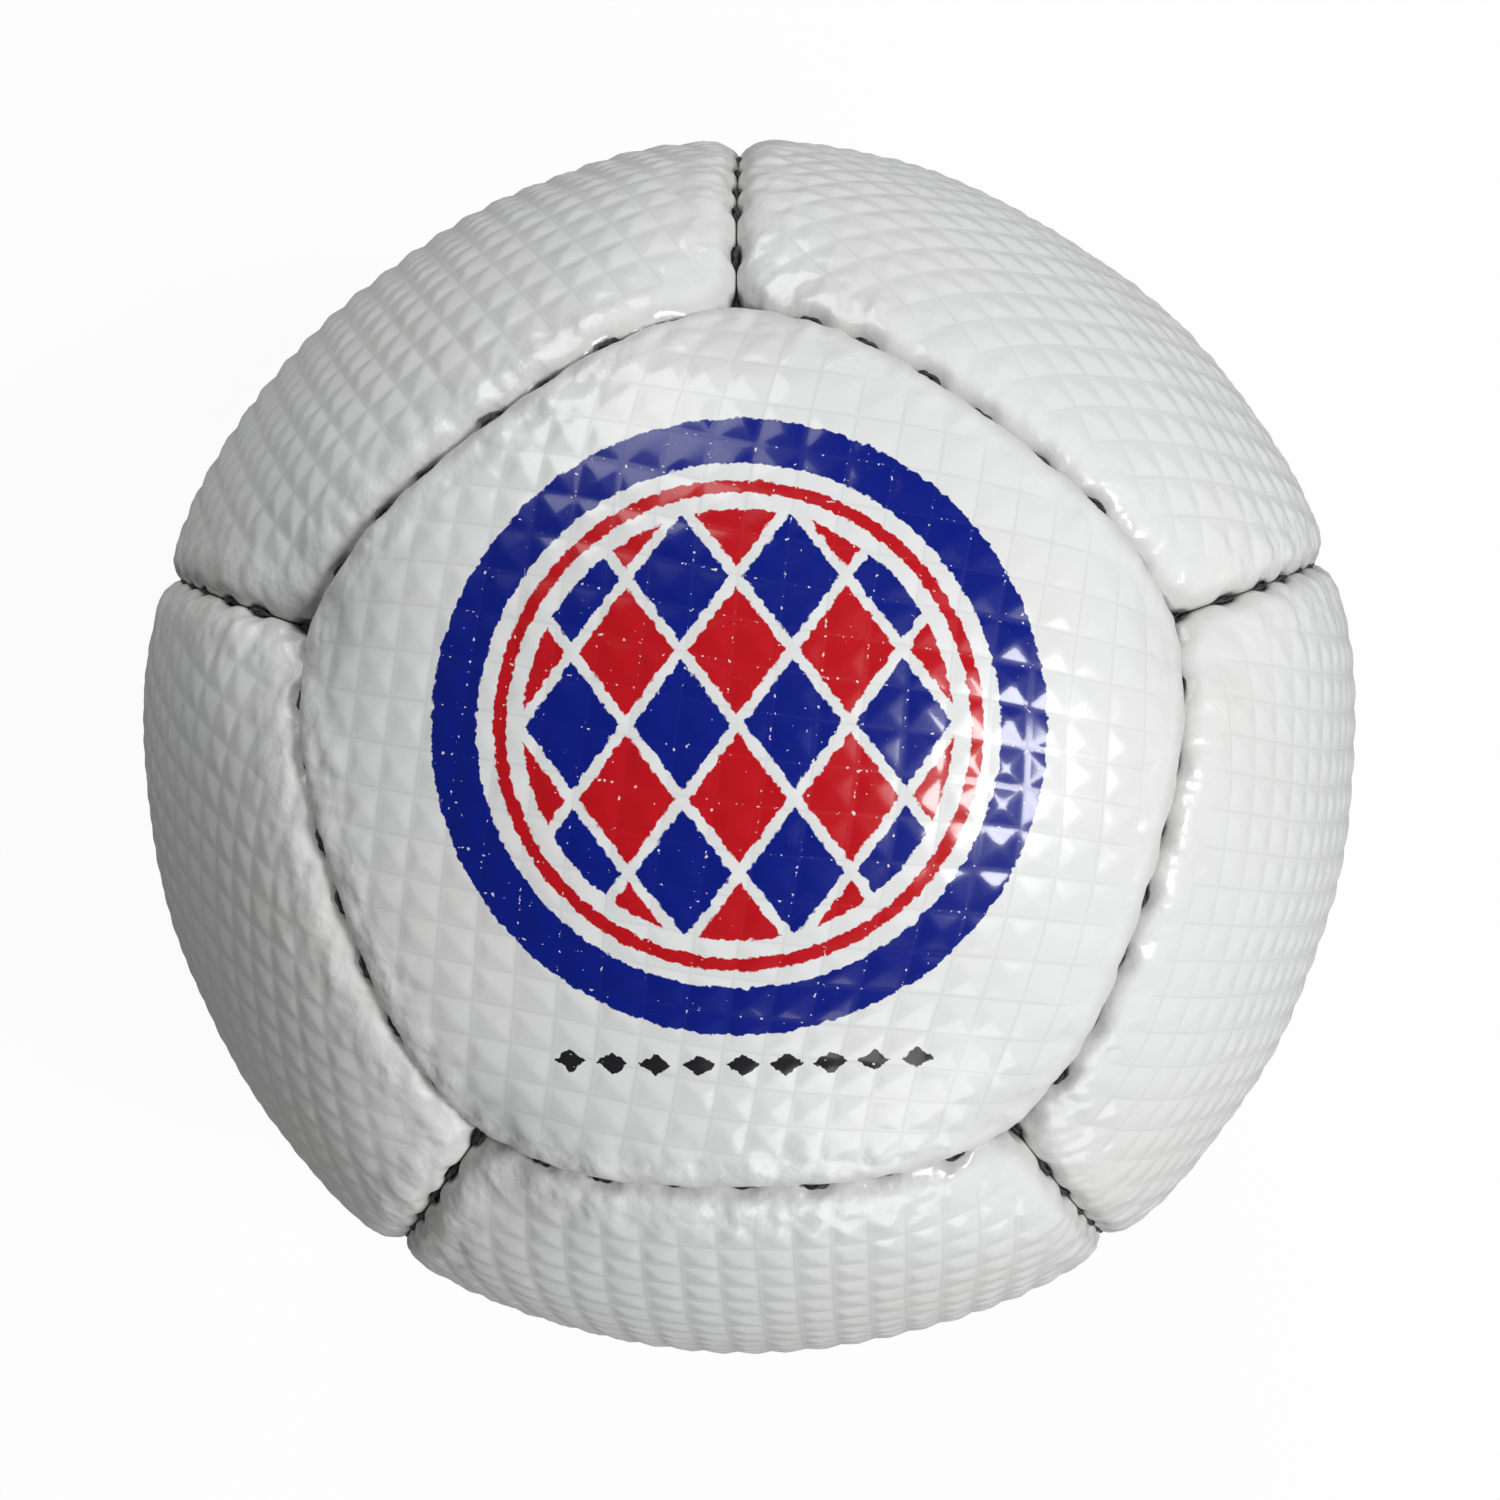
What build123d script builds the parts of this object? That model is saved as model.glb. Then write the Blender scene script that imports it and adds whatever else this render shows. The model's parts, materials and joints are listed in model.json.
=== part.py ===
from build123d import *
import math
import os

# Hand-sewn arena polo ball: twelve three-ply panels stitched edge to edge over an inflated bladder.
# The origin is the ball's centre, +Z runs up through the printed panel and the valve sits on -Z.
# Panels follow a regular dodecahedron. Lengths are in millimetres and angles in degrees.

# Outer form
crown_radius = 56.3  # ball centre to the middle of a panel
dome_radius = 64.5  # a panel's own curvature, flatter than the ball
edge_roll = 3.2  # outer radius of a panel's turned-in edges and corners
seam_gap = 0.3  # between the facing edges of two panels

# The three bonded plies of a panel, from the outside in
skin_thickness = 0.9
foam_thickness = 0.9
lining_thickness = 0.8
flange_depth = 3.2  # straight part of the turned-in edge, below its roll

# Saddle stitching: two threads share each hole, one above the other
thread_radius = 0.3
thread_bend = 0.45  # centre-line radius where a thread turns out of a hole
thread_spacing = 0.06  # between the two threads
thread_clearance = 0.06  # thread to hole wall, and thread to lining
stitch_pitch = 5.0
stitch_end_margin = 1.6  # last hole's centre to the start of the corner
thread_tail = 1.0  # thread left past the last hole

# Bladder
bladder_wall = 0.9
bladder_round = 1.4  # outer edge radius where the bladder swells into a panel
bladder_clearance = 0.2  # to the lining, the seam edges and the thread

# Valve, at the middle of the bottom panel
stem_radius = 3.5  # passes through the bladder and the panel
stem_clearance = 0.15
stem_recess = 0.5  # stem end below the panel's surface
boss_radius = 10.0  # disc bonded inside the bladder
boss_thickness = 1.2
socket_radius = 4.4  # the stem's thicker inner end, around the core
socket_length = 8.0
core_radius = 2.2
collar_radius = 3.0  # locks the core in the socket
collar_height = 1.6
collar_rise = 3.0  # collar above the inner end of the socket
needle_radius = 1.1
needle_floor = 2.0  # solid rubber that closes the needle channel
needle_mouth = 0.5  # chamfer that leads the needle in

# Dodecahedron angles
edge_angle = math.degrees(math.atan((math.sqrt(5) - 1) / 2))  # panel axis to the middle of an edge
neighbour_angle = 2 * edge_angle
half_edge_angle = math.degrees(math.asin(math.tan(math.radians(edge_angle)) / math.sqrt(3)))
half_corner_angle = 60.0  # half the angle between two edge walls of a panel
edge_bearings = [54.0 + 72.0 * i for i in range(5)]

# Sizes that follow from the ones above
edge_sine = math.sin(math.radians(edge_angle))
edge_cosine = math.cos(math.radians(edge_angle))
panel_thickness = skin_thickness + foam_thickness + lining_thickness
dome_offset = dome_radius - crown_radius
edge_radius = math.sqrt(dome_radius**2 - (dome_offset * edge_sine) ** 2) - dome_offset * edge_cosine
flange_end_radius = edge_radius - edge_roll - flange_depth
stitch_radius = flange_end_radius + flange_depth / 2
thread_level = thread_radius + thread_spacing / 2
hole_radius = thread_level + thread_radius + thread_clearance
thread_reach = seam_gap / 2 + panel_thickness + thread_clearance + thread_radius
corner_run = edge_roll / math.tan(math.radians(half_corner_angle)) + stitch_end_margin
last_stitch_angle = half_edge_angle - math.degrees(math.asin(corner_run / stitch_radius))
pitch_angle = math.degrees(stitch_pitch / stitch_radius)
stitches_each_way = int(last_stitch_angle / pitch_angle)
stitch_angles = [i * pitch_angle for i in range(-stitches_each_way, stitches_each_way + 1)]

bladder_radius = flange_end_radius - bladder_clearance
bladder_side_inset = thread_reach + thread_radius + bladder_clearance
bladder_dome_inset = panel_thickness + bladder_clearance
valve_hole_radius = stem_radius + stem_clearance
seat_radius = dome_radius - bladder_dome_inset - bladder_wall
stem_top = crown_radius - stem_recess
socket_top = seat_radius - dome_offset - boss_thickness / 2
socket_bottom = seat_radius - dome_offset - boss_thickness - socket_length
collar_bottom = socket_bottom + collar_rise


def bearing_vector(polar, bearing):
    """Unit vector at a polar angle from +Z and a bearing about it."""
    flat = math.sin(math.radians(polar))
    turn = math.radians(bearing)
    return Vector(flat * math.cos(turn), flat * math.sin(turn), math.cos(math.radians(polar)))


def ring_plane(polar, bearing):
    """A panel's plane through the ball's centre, with the nearer pole's panel on its local -Y side."""
    side = 1 if polar < 90 else -1
    across = bearing_vector(90, bearing - 90) * side
    return Plane(origin=(0, 0, 0), x_dir=across, z_dir=bearing_vector(polar, bearing))


def seam_plane(first_axis, second_axis):
    """Seam between two panels: local X runs along it, Y across it and Z out through its middle."""
    across = (first_axis - second_axis).normalized()
    outward = (first_axis + second_axis).normalized()
    return Plane(origin=(0, 0, 0), x_dir=across.cross(outward), z_dir=outward)


def along_seam(radius, angle):
    """Point in a seam's own plane: its run along the seam and its distance out from the centre."""
    return radius * math.sin(math.radians(angle)), radius * math.cos(math.radians(angle))


# Where each panel lies
upper_ring = {"front": 270, "right": 342, "back_right": 54, "back_left": 126, "left": 198}
lower_ring = {"front_left": 234, "front_right": 306, "right": 18, "back": 90, "left": 162}
panel_planes = {"top": Plane.XY}
for place, bearing in upper_ring.items():
    panel_planes["upper_" + place] = ring_plane(neighbour_angle, bearing)
for place, bearing in lower_ring.items():
    panel_planes["lower_" + place] = ring_plane(180 - neighbour_angle, bearing)
panel_planes["bottom"] = Plane(origin=(0, 0, 0), x_dir=(1, 0, 0), z_dir=(0, 0, -1))

valve_plane = panel_planes["bottom"]

# Where each seam lies, and the five seams of one panel in its own frame
panel_axes = [plane.z_dir for plane in panel_planes.values()]
seam_planes = [
    seam_plane(first, second)
    for i, first in enumerate(panel_axes)
    for second in panel_axes[i + 1 :]
    if abs(first.get_angle(second) - neighbour_angle) < 1
]
panel_seams = [
    seam_plane(Vector(0, 0, 1), bearing_vector(neighbour_angle, bearing)) for bearing in edge_bearings
]
panel_walls = [Plane(origin=(0, 0, 0), x_dir=seam.x_dir, z_dir=seam.y_dir) for seam in panel_seams]


def panel_wedge(side_inset, dome_inset):
    """Sharp pentagonal wedge under a dome, inset from the seams and from the panel's surface."""
    with BuildPart() as wedge:
        with Locations((0, 0, -dome_offset)):
            Sphere(dome_radius - dome_inset)
        split(bisect_by=Plane.XY.offset(flange_end_radius / 2), keep=Keep.TOP)
        for wall in panel_walls:
            split(bisect_by=wall.offset(side_inset), keep=Keep.TOP)
    return wedge.part


def panel_plug(side_inset, dome_inset, rounding):
    """The same wedge with its outer edges and corners rounded."""
    with BuildPart() as plug:
        add(panel_wedge(side_inset, dome_inset))
        base_edges = plug.faces().sort_by(Axis.Z)[0].edges()
        fillet(plug.edges() - base_edges, rounding)
    return plug.part


def panel_ply(outer, inner):
    """One ply of a panel: what lies between two plugs, with its turned-in edges and stitch holes."""
    with BuildPart() as ply:
        add(outer)
        add(inner, mode=Mode.SUBTRACT)
        Sphere(flange_end_radius, mode=Mode.SUBTRACT)
        with BuildSketch(*panel_walls):
            for angle in stitch_angles:
                run, height = along_seam(stitch_radius, angle)
                with Locations((run, -height)):
                    Circle(hole_radius)
        extrude(amount=thread_reach, mode=Mode.SUBTRACT)
    return ply.part


def seam_thread(radius, first_side):
    """One thread of a seam: it crosses at each hole and runs along the lining to the next one."""
    tail_angle = math.degrees((thread_tail + thread_bend) / stitch_radius)
    stops = [(stitch_angles[0] - tail_angle, first_side)]
    for number, angle in enumerate(stitch_angles):
        side = first_side * (-1) ** number
        stops += [(angle, side), (angle, -side)]
    stops.append((stitch_angles[-1] + tail_angle, -side))
    route = []
    for angle, side in stops:
        run, height = along_seam(radius, angle)
        route.append((run, side * thread_reach, height))
    with BuildPart() as thread:
        with BuildLine() as path:
            FilletPolyline(*route, radius=thread_bend)
        with BuildSketch(Plane(origin=path.line @ 0, z_dir=path.line % 0)):
            Circle(thread_radius)
        sweep()
    return thread.part


os.makedirs("parts", exist_ok=True)

# Panels: skin, foam and lining, each turned in at its edges
ply_depths = [0, skin_thickness, skin_thickness + foam_thickness, panel_thickness]
plugs = [panel_plug(seam_gap / 2 + depth, depth, edge_roll - depth) for depth in ply_depths]
for number, ply_name in enumerate(("skin", "foam", "lining")):
    ply = panel_ply(plugs[number], plugs[number + 1])
    for place, plane in panel_planes.items():
        with BuildPart(plane) as piece:
            add(ply)
            if place == "bottom":
                with BuildSketch(plane):
                    Circle(valve_hole_radius)
                extrude(amount=crown_radius, mode=Mode.SUBTRACT)
        piece.part.label = f"{place}_{ply_name}"
        export_step(piece.part, f"parts/{piece.part.label}.step")

# Stitching: the two threads of every seam, the outer one nearer the ball's surface
for thread_name, side in (("outer_thread", 1), ("inner_thread", -1)):
    with BuildPart(*seam_planes) as stitching:
        add(seam_thread(stitch_radius + side * thread_level, side))
    stitching.part.label = thread_name
    export_step(stitching.part, f"parts/{thread_name}.step")

# Bladder: a hollow ball that swells into every panel, with a hole for the valve stem
swelling = panel_plug(bladder_side_inset, bladder_dome_inset, bladder_round)
hollow = panel_wedge(bladder_side_inset + bladder_wall, bladder_dome_inset + bladder_wall)
with BuildPart() as air_space:
    Sphere(bladder_radius - bladder_wall)
    with Locations(*panel_planes.values()):
        add(hollow)
with BuildPart() as bladder:
    Sphere(bladder_radius)
    with Locations(*panel_planes.values()):
        add(swelling)
    add(air_space.part, mode=Mode.SUBTRACT)
    with BuildSketch(valve_plane):
        Circle(valve_hole_radius)
    extrude(amount=crown_radius, mode=Mode.SUBTRACT)
bladder.part.label = "bladder"
export_step(bladder.part, "parts/bladder.step")

# Valve boss: a disc against the bladder's inside, a stem out through the panel and a socket inwards
with BuildPart(valve_plane) as valve_boss:
    with Locations((0, 0, -dome_offset)):
        Sphere(seat_radius)
        Sphere(seat_radius - boss_thickness, mode=Mode.SUBTRACT)
    with BuildSketch(valve_plane):
        Circle(boss_radius)
    extrude(amount=crown_radius, mode=Mode.INTERSECT)
    with BuildSketch(valve_plane.offset(socket_bottom)):
        Circle(socket_radius)
    extrude(amount=socket_top - socket_bottom)
    with BuildSketch(valve_plane.offset(socket_top)):
        Circle(stem_radius)
    extrude(amount=stem_top - socket_top)
    with BuildSketch(valve_plane.offset(socket_bottom)):
        Circle(core_radius)
    extrude(amount=stem_top - socket_bottom, mode=Mode.SUBTRACT)
    with BuildSketch(valve_plane.offset(collar_bottom)):
        Circle(collar_radius)
    extrude(amount=collar_height, mode=Mode.SUBTRACT)
valve_boss.part.label = "valve_boss"
export_step(valve_boss.part, "parts/valve_boss.step")

# Valve core: a rubber plug with a collar and a blind channel for the pump needle
with BuildPart(valve_plane) as valve_core:
    with BuildSketch(valve_plane.offset(socket_bottom)):
        Circle(core_radius)
    extrude(amount=stem_top - socket_bottom)
    with BuildSketch(valve_plane.offset(collar_bottom)):
        Circle(collar_radius)
    extrude(amount=collar_height)
    with BuildSketch(valve_plane.offset(socket_bottom + needle_floor)):
        Circle(needle_radius)
    extrude(amount=stem_top - socket_bottom - needle_floor, mode=Mode.SUBTRACT)
    mouth = valve_core.faces().sort_by(Axis.Z)[0].edges().sort_by(SortBy.RADIUS)[0]
    chamfer(mouth, needle_mouth)
valve_core.part.label = "valve_core"
export_step(valve_core.part, "parts/valve_core.step")
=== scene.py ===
import json
import math
import bpy
import numpy as np
from mathutils import Matrix, Vector


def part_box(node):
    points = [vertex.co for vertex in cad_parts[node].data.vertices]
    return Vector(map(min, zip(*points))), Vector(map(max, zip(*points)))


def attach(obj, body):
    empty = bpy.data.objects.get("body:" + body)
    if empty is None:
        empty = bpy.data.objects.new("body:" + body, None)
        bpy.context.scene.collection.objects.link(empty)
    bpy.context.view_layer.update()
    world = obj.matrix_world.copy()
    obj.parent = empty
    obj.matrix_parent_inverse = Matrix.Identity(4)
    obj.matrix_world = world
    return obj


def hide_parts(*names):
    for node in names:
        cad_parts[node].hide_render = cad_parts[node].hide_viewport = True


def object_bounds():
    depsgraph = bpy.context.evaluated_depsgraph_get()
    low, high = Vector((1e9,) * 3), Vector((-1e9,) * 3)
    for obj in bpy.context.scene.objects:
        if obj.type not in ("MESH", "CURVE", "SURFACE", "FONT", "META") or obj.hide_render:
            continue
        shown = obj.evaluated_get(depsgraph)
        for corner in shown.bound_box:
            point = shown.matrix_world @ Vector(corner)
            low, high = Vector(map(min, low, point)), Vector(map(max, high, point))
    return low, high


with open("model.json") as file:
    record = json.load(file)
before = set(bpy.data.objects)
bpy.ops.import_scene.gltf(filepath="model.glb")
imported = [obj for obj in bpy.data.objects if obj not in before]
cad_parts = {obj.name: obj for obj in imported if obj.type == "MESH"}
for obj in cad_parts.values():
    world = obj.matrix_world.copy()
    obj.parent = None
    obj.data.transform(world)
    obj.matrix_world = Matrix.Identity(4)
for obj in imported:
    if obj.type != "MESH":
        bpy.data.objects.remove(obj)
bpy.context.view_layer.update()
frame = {"nodes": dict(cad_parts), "record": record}
mm = 0.001
tiny = 1e-12  # stands in for a length of zero that would divide
print("frame loaded:", len(frame["nodes"]), "pieces of the ball")

# Shared form of the ball, in metres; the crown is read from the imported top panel
ball = {
    "crownRadius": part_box("top_skin")[1].z,
    "domeRadius": 64.5 * mm,    # a panel's own curvature
    "edgeRoll": 3.2 * mm,       # how far in from the seam an edge begins to turn
    "seamGap": 0.06 * mm,       # between facing edges, drawn tight by the thread
    "cornerRound": 5.5 * mm,    # radius of a panel's corners in plan
    "cornerSink": 1.9 * mm,     # how far the three corners at a meeting point are drawn in
    "cornerReach": 6.5 * mm,    # how far that spreads
    "cornerClose": 1.0 * mm,    # how far the lips at a meeting point are squeezed together
    "cornerHold": 1.2 * mm,     # and how far that spreads
    "shoulderSoft": 0.5 * mm,   # gentle fall before the roll
    "shoulderReach": 8.0 * mm,  # how far from the seam that fall starts
    "wallDepth": 2.2 * mm,      # straight part of the turned-in edge
    "sheetRadius": 57.0 * mm,   # sphere on which the flat sheet is measured
    "sheetHalf": 46.0 * mm,     # reach of a sheet's grid from its middle, past every edge
    "stitchPitch": 5.0 * mm,
}
upperRing = {"front": 270, "right": 342, "back_right": 54, "back_left": 126, "left": 198}
lowerRing = {"front_left": 234, "front_right": 306, "right": 18, "back": 90, "left": 162}
edgeAngle = math.atan((math.sqrt(5) - 1) / 2)  # panel axis to the middle of an edge
domeOffset = ball["domeRadius"] - ball["crownRadius"]
neighbourCosine = 0.4  # the axes of two panels that share an edge have a cosine above this


def polar(angle, bearing):
    # unit vector at an angle from +Z and a bearing in degrees about it
    turn = math.radians(bearing)
    return np.array([math.sin(angle) * math.cos(turn), math.sin(angle) * math.sin(turn), math.cos(angle)])


def unit(vectors):
    # each vector divided by its own length
    return vectors / np.linalg.norm(vectors, axis=-1, keepdims=True)


def smoothStep(low, high, values):
    # 0 below low, 1 above high and the cubic 3t^2 - 2t^3 between them
    t = np.clip((values - low) / (high - low), 0.0, 1.0)
    return t * t * (3.0 - 2.0 * t)


def domeReach(cosine):
    # distance from the ball's centre to a dome whose own centre lies domeOffset behind it
    return np.sqrt(ball["domeRadius"] ** 2 - domeOffset**2 * (1.0 - cosine**2)) - domeOffset * cosine


def panelBases():
    # columns are a panel's own x, y and axis; the nearer pole's panel lies on its -y side
    bases = {"top": np.eye(3), "bottom": np.diag([1.0, -1.0, -1.0])}
    for ring, level, side in ((upperRing, "upper_", 1), (lowerRing, "lower_", -1)):
        for place, bearing in ring.items():
            axis = polar(2 * edgeAngle if side > 0 else math.pi - 2 * edgeAngle, bearing)
            across = side * polar(math.pi / 2, bearing - 90)
            bases[level + place] = np.column_stack([across, np.cross(axis, across), axis])
    return bases


bases = panelBases()
axes = np.array([basis[:, 2] for basis in bases.values()])
panelNames = list(bases)
neighbours = axes @ axes.T > neighbourCosine


def allSeams():
    # one row for each pair of panels that share an edge: middle, run and the two panels
    rows = []
    for i in range(len(axes)):
        for j in range(i + 1, len(axes)):
            if neighbours[i, j]:
                middle = unit(axes[i] + axes[j])
                run = np.cross(unit(axes[i] - axes[j]), middle)
                rows.append({"middle": middle, "run": run, "pair": (i, j)})
    return rows


seams = allSeams()


def meetingPoints():
    # directions in which three panels meet
    triples = [
        (i, j, k)
        for i in range(len(axes))
        for j in range(i)
        for k in range(j)
        if neighbours[i, j] and neighbours[j, k] and neighbours[i, k]
    ]
    return unit(axes[np.array(triples)].sum(axis=1))


corners = meetingPoints()

# Stitches: short openings along each seam with puckers beside them
stitches = {
    "reach": 4,            # stitches each way from a seam's middle
    "share": 0.25,         # half length of an opening, in pitches
    "opening": 0.42 * mm,  # how far a lip draws back there
    "leastGape": 0.68,     # smallest opening against the largest
    "lip": (0.5, 1.2),     # turn of the edge, in radians, over which the openings grow
    "pinch": 0.15 * mm,    # height of the puckers
    "jitter": 0.55 * mm,   # how far a stitch may lie from its place
    "seed": 7,
}
stitchDraw = np.random.default_rng(stitches["seed"])
stitchCount = 2 * stitches["reach"] + 1
for seam in seams:
    seam["gape"] = stitchDraw.uniform(stitches["leastGape"], 1.0, stitchCount)
    seam["shift"] = stitchDraw.uniform(-1.0, 1.0, stitchCount) * stitches["jitter"]


def stitchLens(seam, run):
    # one flat-topped bell for each stitch along the seam, as high as its own gape
    slot = np.clip(np.rint(run / ball["stitchPitch"]), -stitches["reach"], stitches["reach"]).astype(int)
    index = slot + stitches["reach"]
    away = run - slot * ball["stitchPitch"] - seam["shift"][index]
    return seam["gape"][index] * np.exp(-((away / (stitches["share"] * ball["stitchPitch"])) ** 4))


# Skin panels: an embossed sheet bent over a dome and turned in at its five edges
skin = {
    "cell": 2.95 * mm,         # one embossed pyramid
    "height": 0.26 * mm,       # pyramid above its grooves
    "leastHeight": 0.85,       # lowest pyramid, as a share of that
    "heightSpread": 0.3,       # and what chance adds
    "soft": 12.0,              # higher is sharper ridges
    "swell": 1.06,             # 1 is a straight-sided pyramid, more is fuller
    "lean": 0.28,              # how far a peak may lie from its cell's middle, in half cells
    "leanSeeds": (20, 40),
    "sink": 0.12 * mm,         # grooves below the plain surface
    "drift": 0.5 * mm,         # slow wander of the rows
    "driftScale": 34.0 * mm,
    "driftSeeds": (100, 200),
    "uneven": 0.10 * mm,       # slow rise and fall of the surface
    "unevenScale": 0.33,       # in radians about the ball's centre
    "unevenSeed": 400,
    "unevenReach": 6.0 * mm,   # it grows over this from a seam
    "wrinkle": 0.06 * mm,      # crumpling beside the seams
    "wrinkleWaves": ((1.0, 0.045, 300), (0.7, 0.024, 600)),  # share, scale in radians and seed of each
    "wrinkleTerms": 12,
    "band": (0.6, 0.9),        # middle and half width of the puckered band by a seam, in edge rolls
    "plain": {"top": 0.2, "other": 0.95},  # smooth lip beside a seam, in edge rolls
    "plainSpread": 0.3,        # how much that varies
    "plainScale": 0.4,
    "plainSeed": 500,
    "fade": (-0.5, 0.8),       # where the embossing starts and is full, past the lip, in edge rolls
    "shade": 2.2,              # how far in from a seam the leather is shaded, in edge rolls
    "holeRadius": 3.65 * mm,   # for the valve stem, in the bottom panel
    # turn of the embossing on each panel, in degrees
    "angles": {"top": -9.5, "upper_front": 2, "upper_right": 7, "upper_left": -37,
               "upper_back_right": -33, "upper_back_left": 2},
    # share of the embossing that the stretched panels keep
    "kept": {"top": 0.58, "upper_left": 0.64, "upper_right": 0.7, "upper_front": 0.88},
}

# Plies of a panel: how deep each lies, its roll across and down, its thickness, its mesh steps in a cell
# and its share of the embossing; the printed panel's skin is drawn tighter over its edge
plies = {
    "skin": {"depth": 0.0, "across": 3.2 * mm, "down": 1.3 * mm,
             "thickness": 0.7 * mm, "steps": 8, "relief": 1},
    "tightSkin": {"depth": 0.0, "across": 1.8 * mm, "down": 0.7 * mm,
                  "thickness": 0.7 * mm, "steps": 8, "relief": 1},
    "foam": {"depth": 0.85 * mm, "across": 2.35 * mm, "down": 2.35 * mm,
             "thickness": 0.75 * mm, "steps": 2, "relief": 0},
    "lining": {"depth": 1.7 * mm, "across": 1.5 * mm, "down": 1.5 * mm,
               "thickness": 0.7 * mm, "steps": 2, "relief": 0},
}


def slowWave(points, scale, seed, terms=7):
    # sum of a few sines of random direction and phase, with about one wave in each scale
    draw = np.random.default_rng(seed)
    ways = unit(draw.normal(size=(terms, 3))) * (2 * math.pi / scale) * draw.uniform(0.6, 1.4, (terms, 1))
    phases = draw.uniform(0, 2 * math.pi, terms)
    return np.sin(points @ ways.T + phases).sum(axis=-1) / math.sqrt(terms)


cellHash = {"alongU": 12.9898, "alongV": 78.233, "stretch": 43758.5453}


def cellNoise(u, v, seed):
    # a number from 0 to 1 that is the same over a whole cell, from the fraction of a large sine
    rows = np.rint(u) * cellHash["alongU"] + np.rint(v) * cellHash["alongV"] + seed
    return np.sin(rows) * cellHash["stretch"] % 1.0


def fromPeak(t, peak):
    # 0 at the peak and 1 at both borders of the cell, straight between, for t from -1 to 1
    return np.abs(t - peak) / np.where(t > peak, 1.0 - peak, 1.0 + peak)


def pyramid(u, v, number):
    # 1 at a cell's peak and 0 on its border, from a power of a soft form of the larger of two distances
    leanU, leanV = (skin["lean"] * (2.0 * cellNoise(u, v, number + seed) - 1.0) for seed in skin["leanSeeds"])
    a = fromPeak(2.0 * (u - np.rint(u)), leanU)
    b = fromPeak(2.0 * (v - np.rint(v)), leanV)
    return 1.0 - np.minimum((a ** skin["soft"] + b ** skin["soft"]) ** (skin["swell"] / skin["soft"]), 1.0)


def sheetGrid(place, number, steps):
    # grid in u and v along the embossing, its wandering place x and y on the panel, and its direction
    # from the ball's centre when it is laid on the sphere by arc length
    step = skin["cell"] / steps
    half = int(ball["sheetHalf"] / step)
    ticks = np.arange(-half, half + 1)
    iu, iv = np.meshgrid(ticks, ticks, indexing="ij")
    u = (iu * step).ravel()
    v = (iv * step).ravel()
    plane = np.column_stack([u, v, np.zeros_like(u)])
    wave = [slowWave(plane, skin["driftScale"], seed + number) for seed in skin["driftSeeds"]]
    driftU, driftV = skin["drift"] * wave[0], skin["drift"] * wave[1]
    angle = math.radians(skin["angles"].get(place, 0))
    x = math.cos(angle) * (u + driftU) - math.sin(angle) * (v + driftV)
    y = math.sin(angle) * (u + driftU) + math.cos(angle) * (v + driftV)
    arc = np.maximum(np.hypot(x, y), tiny) / ball["sheetRadius"]
    flat = np.sin(arc) / arc / ball["sheetRadius"]
    return ticks, u, v, x, y, np.column_stack([x * flat, y * flat, np.cos(arc)])


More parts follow.
